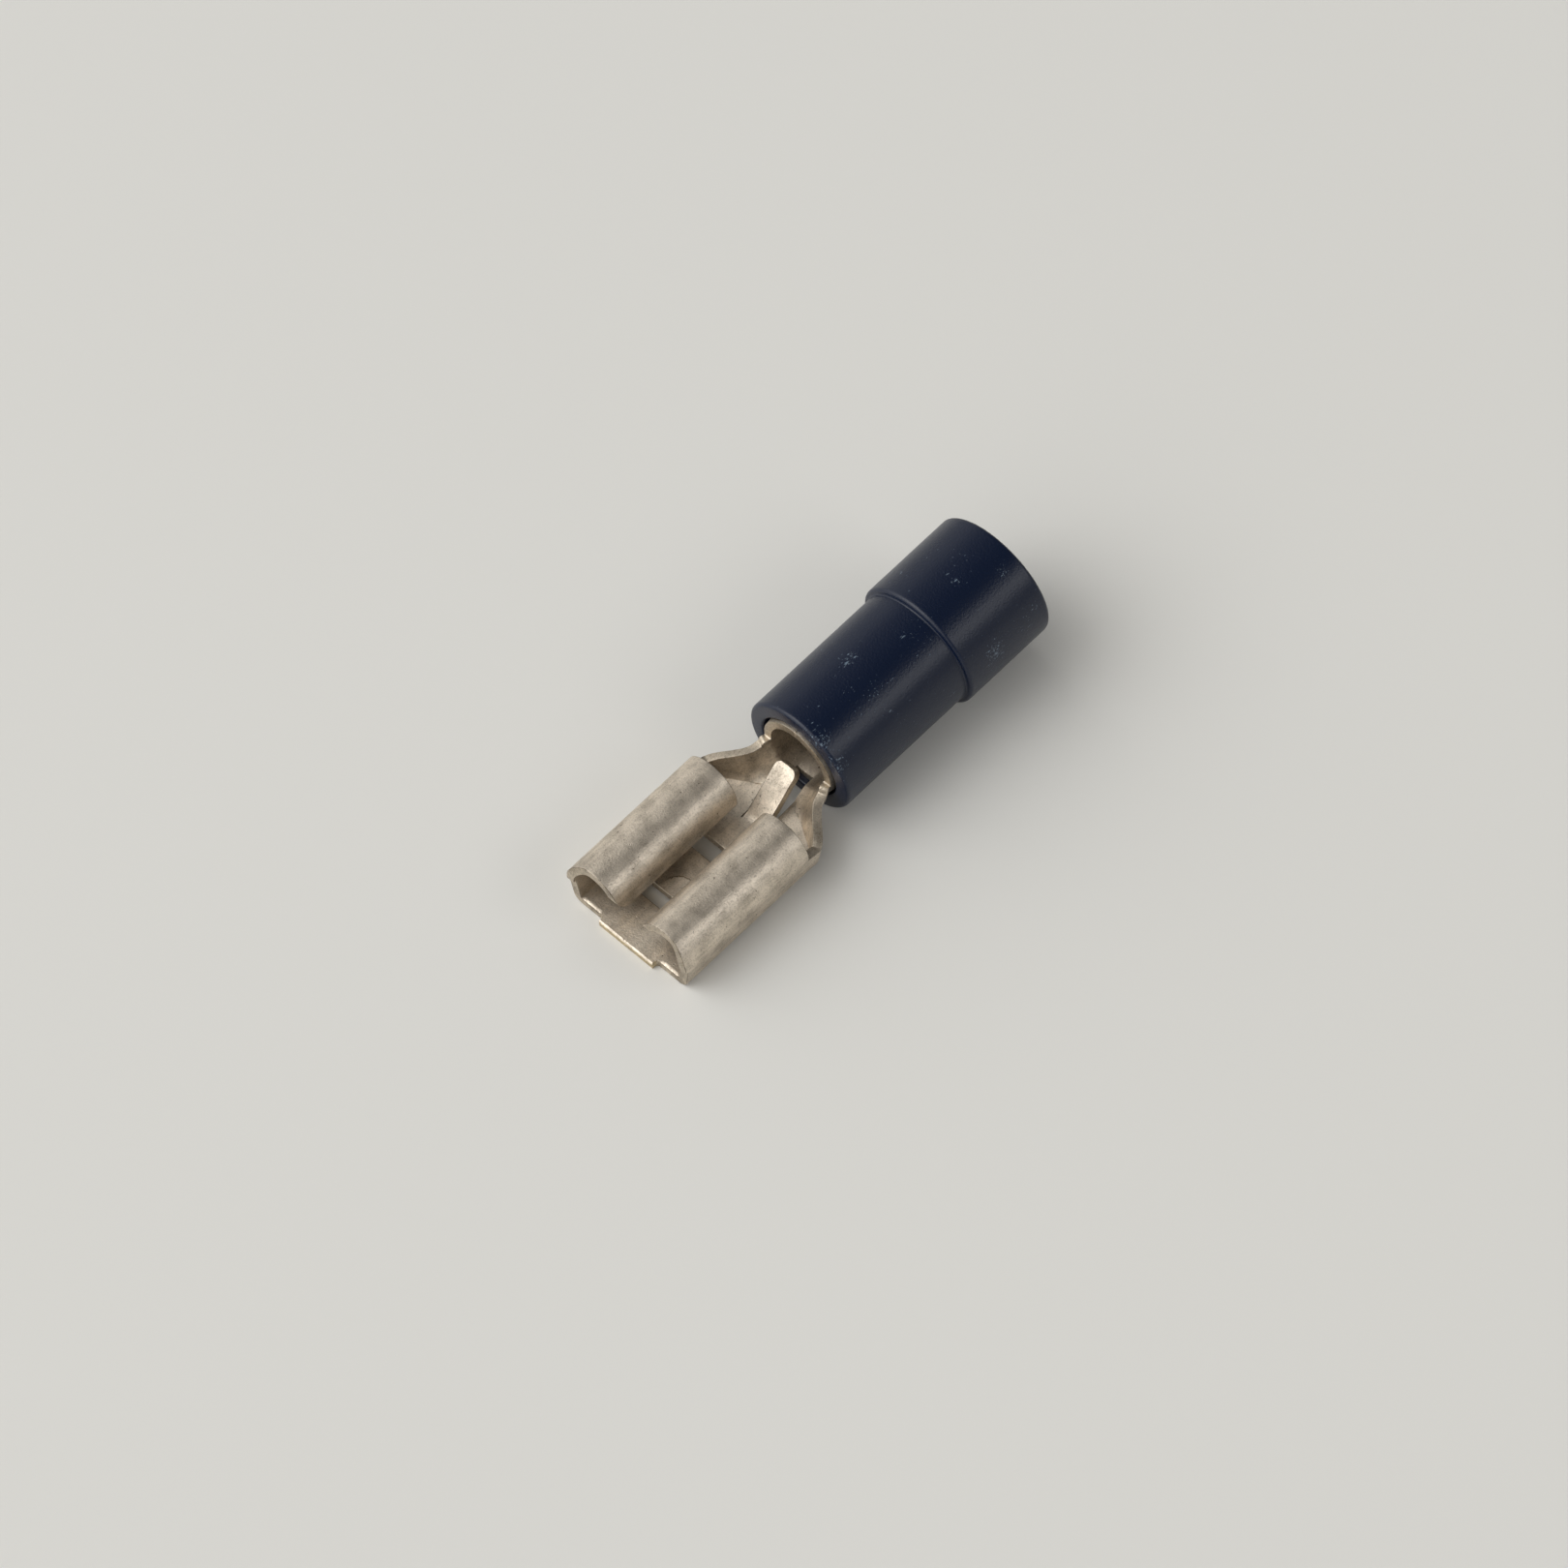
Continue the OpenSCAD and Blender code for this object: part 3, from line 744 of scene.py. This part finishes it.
    # Which cells are metal. Columns past the near ones are further out than any opening.
    x_mid = (rows[:-1] + rows[1:])[:, None] / 2
    column = np.concatenate([near, np.full(half_columns - len(near), np.inf)])
    column_mid = ((column[:-1] + column[1:]) / 2)[None, :]
    arc_cell = (np.arange(half_columns - 1) >= len(near) + len(low_fraction) - 1)[None, :]
    in_slot = (x_mid > slot_end) & (x_mid < STOP_X)
    filled = np.ones((len(rows) - 1, half_columns - 1), bool)
    filled &= ~(arc_cell & (x_mid > shape.rim_x) & (x_mid < shape.curl_x))
    filled &= ~((column_mid > half_stop) & (column_mid < half_slot) & in_slot)
    filled &= ~((column_mid < half_slot) & (x_mid > slot_end) & (x_mid < stop_end))
    for window in (FRONT_WINDOW, REAR_WINDOW):
        filled &= ~((column_mid < WINDOW_HALF) & (x_mid > window[0]) & (x_mid < window[1]))
    filled &= ~((x_mid > shape.mouth_x) & (column_mid > TONGUE_HALF))

    def both_sides(grid):
        """The half grid joined to its mirror image at the middle column."""
        return np.concatenate([grid[:, :0:-1] * np.array([1, -1, 1]), grid], 1)

    filled = np.concatenate([filled[:, ::-1], filled], 1)
    return plate(both_sides(outside), both_sides(inside), filled, edge_round)


class TERMINAL_OT_strip(Operator):
    """Builds the folded strip with its barrel, trough, receptacle, windows, detent and tab stop"""

    bl_idname = "terminal.strip"
    bl_label = "Folded strip"

    def execute(self, context):
        sizes, stop = context.scene.terminal_strip, context.scene.terminal_stop
        shape = StripShape(sizes)
        points, faces, wall_step = strip_plate(shape, stop, sizes.edge_round)
        piece = new_piece("folded_strip", points, faces, tinned_brass())
        middle = points[faces].mean(1)
        x, off_middle = middle[:, 0], np.abs(middle[:, 1])
        at_tongue = (x > shape.mouth_x + TONGUE_FILLET / 2) & (off_middle < TONGUE_HALF + TONGUE_FILLET)
        at_window = np.any([np.abs(x - window[0]) < NEAR_WINDOW for window in (FRONT_WINDOW, REAR_WINDOW)], 0)
        at_seam = (off_middle < NEAR_SEAM) & (middle[:, 2] > 0)
        last = 2 * len(ROUNDING_STEPS) - 1
        corner = np.isin(wall_step, (1, 2, last - 1, last))
        # Painted shade on the cut faces, darkest on their roundings; none at the windows' rear edges and the seam
        painted_shade = np.where(corner, CORNER_SHADE, CUT_SHADE * (wall_step > 0)) * ~(at_window | at_seam)
        values = {
            "sheared": (wall_step > 0) * np.where(at_tongue, TONGUE_BRASS, CUT_BRASS),
            "burr": painted_shade * np.where(at_tongue, TONGUE_SHADE_SHARE, 1.0),
        }
        for name, value in values.items():
            attribute = piece.data.attributes.new(name, "FLOAT", "FACE")
            attribute.data.foreach_set("value", value.astype(np.float32))
        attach(piece, "root")
        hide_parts("terminal")
        return {"FINISHED"}


# ---- The sleeve ----


def arc_points(centre, radius, start, end, steps):
    """Points [x, r] on an arc of a profile, with angles in degrees."""
    a = np.radians(np.linspace(start, end, steps + 1))
    return np.stack([centre[0] + radius * np.cos(a), centre[1] + radius * np.sin(a)], -1)


def lathe(profile, steps):
    """Quads of a closed profile [x, r] turned round the X axis: y = r cos a, z = r sin a."""
    a = np.linspace(0, 2 * np.pi, steps, endpoint=False)[:, None]
    x = np.repeat(profile[None, :, 0], steps, 0)
    grid = np.stack([x, profile[None, :, 1] * np.cos(a), profile[None, :, 1] * np.sin(a)], -1)
    index = np.arange(steps * len(profile)).reshape(steps, len(profile))
    ahead, beside = np.roll(index, -1, 0), np.roll(index, -1, 1)
    faces = np.stack([index, ahead, np.roll(ahead, -1, 1), beside], -1).reshape(-1, 4)
    return grid.reshape(-1, 3), faces


# Inside the sleeve: the step just behind the barrel, and the funnel that leads to it from the wire entry
SEAT_X = 4.23 * MM
SEAT_DEPTH = 0.35 * MM
FUNNEL_LENGTH = 0.8 * MM

# Rounding of the wire entry's edge and of the bore's front edge
ENTRY_ROUND = 0.06 * MM
BORE_ROUND = 0.09 * MM

# Rings that only keep the shading of the long faces even, by their distance from a rounded edge, from the
# shoulder, from the bore's front edge and from the seat
EDGE_RING = 0.05 * MM
SHOULDER_RING = 0.1 * MM
BORE_RING = 0.15 * MM
SEAT_RINGS = (0.5 * MM, 1.4 * MM)

# The hollow corner under the shoulder and a ring after it, as (along, out) from the sharp corner
SHOULDER = ((0.01 * MM, 0.03 * MM), (0.04 * MM, 0.0), (0.07 * MM, 0.0))

# Sides of the turned wall, round the axis
TURN_STEPS = 192


class TERMINAL_OT_sleeve(Operator):
    """Builds the plastic sleeve as one turned wall with its collar, wire entry and front bore"""

    bl_idname = "terminal.sleeve"
    bl_label = "Plastic sleeve"

    def execute(self, context):
        size = context.scene.terminal_sleeve
        e, end, shoulder = size.edge_radius, SLEEVE_HIGH.x, size.collar_length
        collar, front = size.collar_radius, size.front_radius
        bore, entry = size.bore_radius, size.entry_radius
        profile = np.concatenate(
            [
                arc_points((ENTRY_ROUND, entry + ENTRY_ROUND), ENTRY_ROUND, 270, 180, 4),
                arc_points((e, collar - e), e, 180, 90, 8),
                [[x, collar] for x in np.linspace(e + EDGE_RING, shoulder - e - EDGE_RING, 8)],
                arc_points((shoulder - e, collar - e), e, 90, 0, 8),
                [[shoulder + x, front + r] for x, r in SHOULDER],
                [[x, front] for x in np.linspace(shoulder + SHOULDER_RING, end - e - EDGE_RING, 10)],
                arc_points((end - e, front - e), e, 90, 0, 8),
                [[end, bore + BORE_ROUND + BORE_RING]],
                arc_points((end - BORE_ROUND, bore + BORE_ROUND), BORE_ROUND, 0, -90, 5),
                [[SEAT_X + SEAT_RINGS[0], bore], [SEAT_X, bore], [SEAT_X, bore - SEAT_DEPTH]],
                [[SEAT_X - FUNNEL_LENGTH, entry], [SEAT_X - SEAT_RINGS[1], entry]],
            ]
        )
        points, faces = lathe(profile, TURN_STEPS)
        piece = new_piece("plastic_sleeve", points, faces, moulded_nylon())
        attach(piece, "root")
        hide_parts("insulating_sleeve")
        return {"FINISHED"}


# ---- Floor, lamps and camera ----

# The mouth dips until the tongue touches the floor, so in the part's frame the floor leans by this much. It
# lies this far from the origin, and its sides are twice FLOOR_HALF long.
FLOOR_TILT = math.radians(3.397)
FLOOR_DISTANCE = 2.997 * MM
FLOOR_HALF = 1.5

# The lamps aim at the middle of the object. Each has its direction from there, its width and its height.
LAMP_AIM = Vector((9.5 * MM, 0, 0))
LAMP_DISTANCE = 0.45
LAMPS = {
    "mouth_lamp": ((0.80, -0.36, 0.46), 0.32, 0.32),
    "top_lamp": ((0.50, -0.42, 0.76), 0.36, 0.36),
    "side_lamp": ((-0.35, 0.76, 0.55), 0.32, 0.15),
    "back_lamp": ((-0.36, -0.87, 0.34), 0.35, 0.25),
}

# The room: its colour, the heights between which it goes from horizon to zenith, and its bright side, whose
# light grows between two cosines of the angle from that side's middle
ROOM_COLOUR = "#fbfaf7"
HORIZON_HEIGHT, ZENITH_HEIGHT = 0.05, 0.85
BRIGHT_DIRECTION = (0.72, -0.45, 0.53)
BRIGHT_EDGE, BRIGHT_FULL = 0.3, 0.9

# The camera: its place, what it looks at, its roll and its lens in millimetres
CAMERA_PLACE = Vector((121.577, 124.853, 280.862)) * MM
CAMERA_AIM = Vector((11.067, 0.084, -0.652)) * MM
CAMERA_ROLL = math.radians(-5.6)
CAMERA_LENS = 213.55


def floor_material():
    """Matt card, plain and pale, with a weak gloss. It is lit and shaded like anything else in the scene."""
    material, tree, shader = new_material("pale_card")
    shader.inputs["Base Color"].default_value = (*bpy.context.scene.terminal_finishes.floor, 1.0)
    shader.inputs["Roughness"].default_value = 0.9
    shader.inputs["Specular IOR Level"].default_value = 0.2
    return material


def add_lamp(name, direction, width, height, watts):
    """A rectangular lamp that looks at the middle of the object from a direction in the part's frame."""
    data = bpy.data.lights.new(name, "AREA")
    data.shape = "RECTANGLE"
    data.size, data.size_y, data.energy = width, height, watts
    lamp = bpy.data.objects.new(name, data)
    away = Vector(direction).normalized()
    lamp.location = LAMP_AIM + away * LAMP_DISTANCE
    lamp.rotation_mode = "QUATERNION"
    lamp.rotation_quaternion = away.to_track_quat("Z", "Y")
    bpy.context.scene.collection.objects.link(lamp)


class TERMINAL_OT_studio(Operator):
    """Builds the pale floor, the lamps, the world and the camera"""

    bl_idname = "terminal.studio"
    bl_label = "Studio"

    def execute(self, context):
        scene, look = context.scene, context.scene.terminal_studio
        scene.view_settings.view_transform = "Standard"

        # Floor: a flat sheet, tilted about Y in its mesh
        corners = FLOOR_HALF * np.array([[-1, -1], [1, -1], [1, 1], [-1, 1]])
        x = corners[:, 0]
        z = (-FLOOR_DISTANCE + math.sin(FLOOR_TILT) * x) / math.cos(FLOOR_TILT)
        points, face = np.stack([x, corners[:, 1], z], -1), np.array([[0, 1, 2, 3]])
        floor = new_piece("floor", points, face, floor_material())

        world = bpy.data.worlds.new("studio_air")
        scene.world = world
        world.use_nodes = True
        tree = world.node_tree
        tree.nodes.clear()
        direction = add_node(tree, "ShaderNodeTexCoord").outputs["Generated"]
        rise = add_node(tree, "ShaderNodeSeparateXYZ", {"Vector": direction}).outputs["Z"]
        facing = add_node(
            tree, "ShaderNodeVectorMath", {0: direction, 1: BRIGHT_DIRECTION}, operation="DOT_PRODUCT"
        ).outputs["Value"]
        horizon = add_node(
            tree, "ShaderNodeMapRange",
            {
                "Value": rise, "From Min": HORIZON_HEIGHT, "From Max": ZENITH_HEIGHT,
                "To Min": look.horizon, "To Max": look.zenith,
            },
        )
        bright_side = add_node(
            tree, "ShaderNodeMapRange",
            {
                "Value": facing, "From Min": BRIGHT_EDGE, "From Max": BRIGHT_FULL,
                "To Min": 0.0, "To Max": look.bright_side,
            },
            interpolation_type="SMOOTHSTEP",
        )
        level = add_node(
            tree, "ShaderNodeMath", {0: horizon.outputs["Result"], 1: bright_side.outputs["Result"]},
            operation="ADD",
        )
        back = add_node(
            tree, "ShaderNodeBackground", {"Color": srgb(ROOM_COLOUR), "Strength": level.outputs["Value"]}
        )
        add_node(tree, "ShaderNodeOutputWorld", {"Surface": back.outputs["Background"]})

        for name, (towards, width, height) in LAMPS.items():
            add_lamp(name, towards, width, height, getattr(look, name))

        data = bpy.data.cameras.new("camera")
        data.sensor_width = 36
        data.lens = CAMERA_LENS
        data.clip_start = 0.01
        camera = bpy.data.objects.new("camera", data)
        turn = (CAMERA_PLACE - CAMERA_AIM).to_track_quat("Z", "Y").to_matrix().to_4x4()
        roll = Matrix.Rotation(CAMERA_ROLL, 4, "Z")
        camera.matrix_world = Matrix.Translation(CAMERA_PLACE) @ turn @ roll
        scene.collection.objects.link(camera)
        scene.camera = camera
        return {"FINISHED"}


# ---- Panel and registration ----


# Each operator, and the groups of settings that are listed under it. All three read the finishes.
BUILD_ORDER = (
    ("terminal.strip", ("terminal_strip", "terminal_stop")),
    ("terminal.sleeve", ("terminal_sleeve", "terminal_finishes")),
    ("terminal.studio", ("terminal_studio",)),
)


class TERMINAL_PT_panel(Panel):
    """Lists the pieces and their sizes"""

    bl_label = "Spade terminal"
    bl_space_type = "VIEW_3D"
    bl_region_type = "UI"
    bl_category = "Terminal"

    def draw(self, context):
        for operator, groups in BUILD_ORDER:
            box = self.layout.box()
            box.operator(operator)
            for group in groups:
                settings = getattr(context.scene, group)
                for name in settings.__annotations__:
                    box.prop(settings, name)


GROUPS = {
    "terminal_strip": StripSizes,
    "terminal_stop": StopSizes,
    "terminal_sleeve": SleeveSizes,
    "terminal_finishes": Finishes,
    "terminal_studio": StudioSizes,
}
CLASSES = (
    *GROUPS.values(), TERMINAL_OT_strip, TERMINAL_OT_sleeve, TERMINAL_OT_studio, TERMINAL_PT_panel,
)


def register():
    for cls in CLASSES:
        bpy.utils.register_class(cls)
    for name, group in GROUPS.items():
        setattr(bpy.types.Scene, name, PointerProperty(type=group))


def unregister():
    for name in GROUPS:
        delattr(bpy.types.Scene, name)
    for cls in reversed(CLASSES):
        bpy.utils.unregister_class(cls)


def main():
    register()
    bpy.ops.terminal.strip()
    bpy.ops.terminal.sleeve()
    bpy.ops.terminal.studio()


if __name__ == "__main__":
    main()
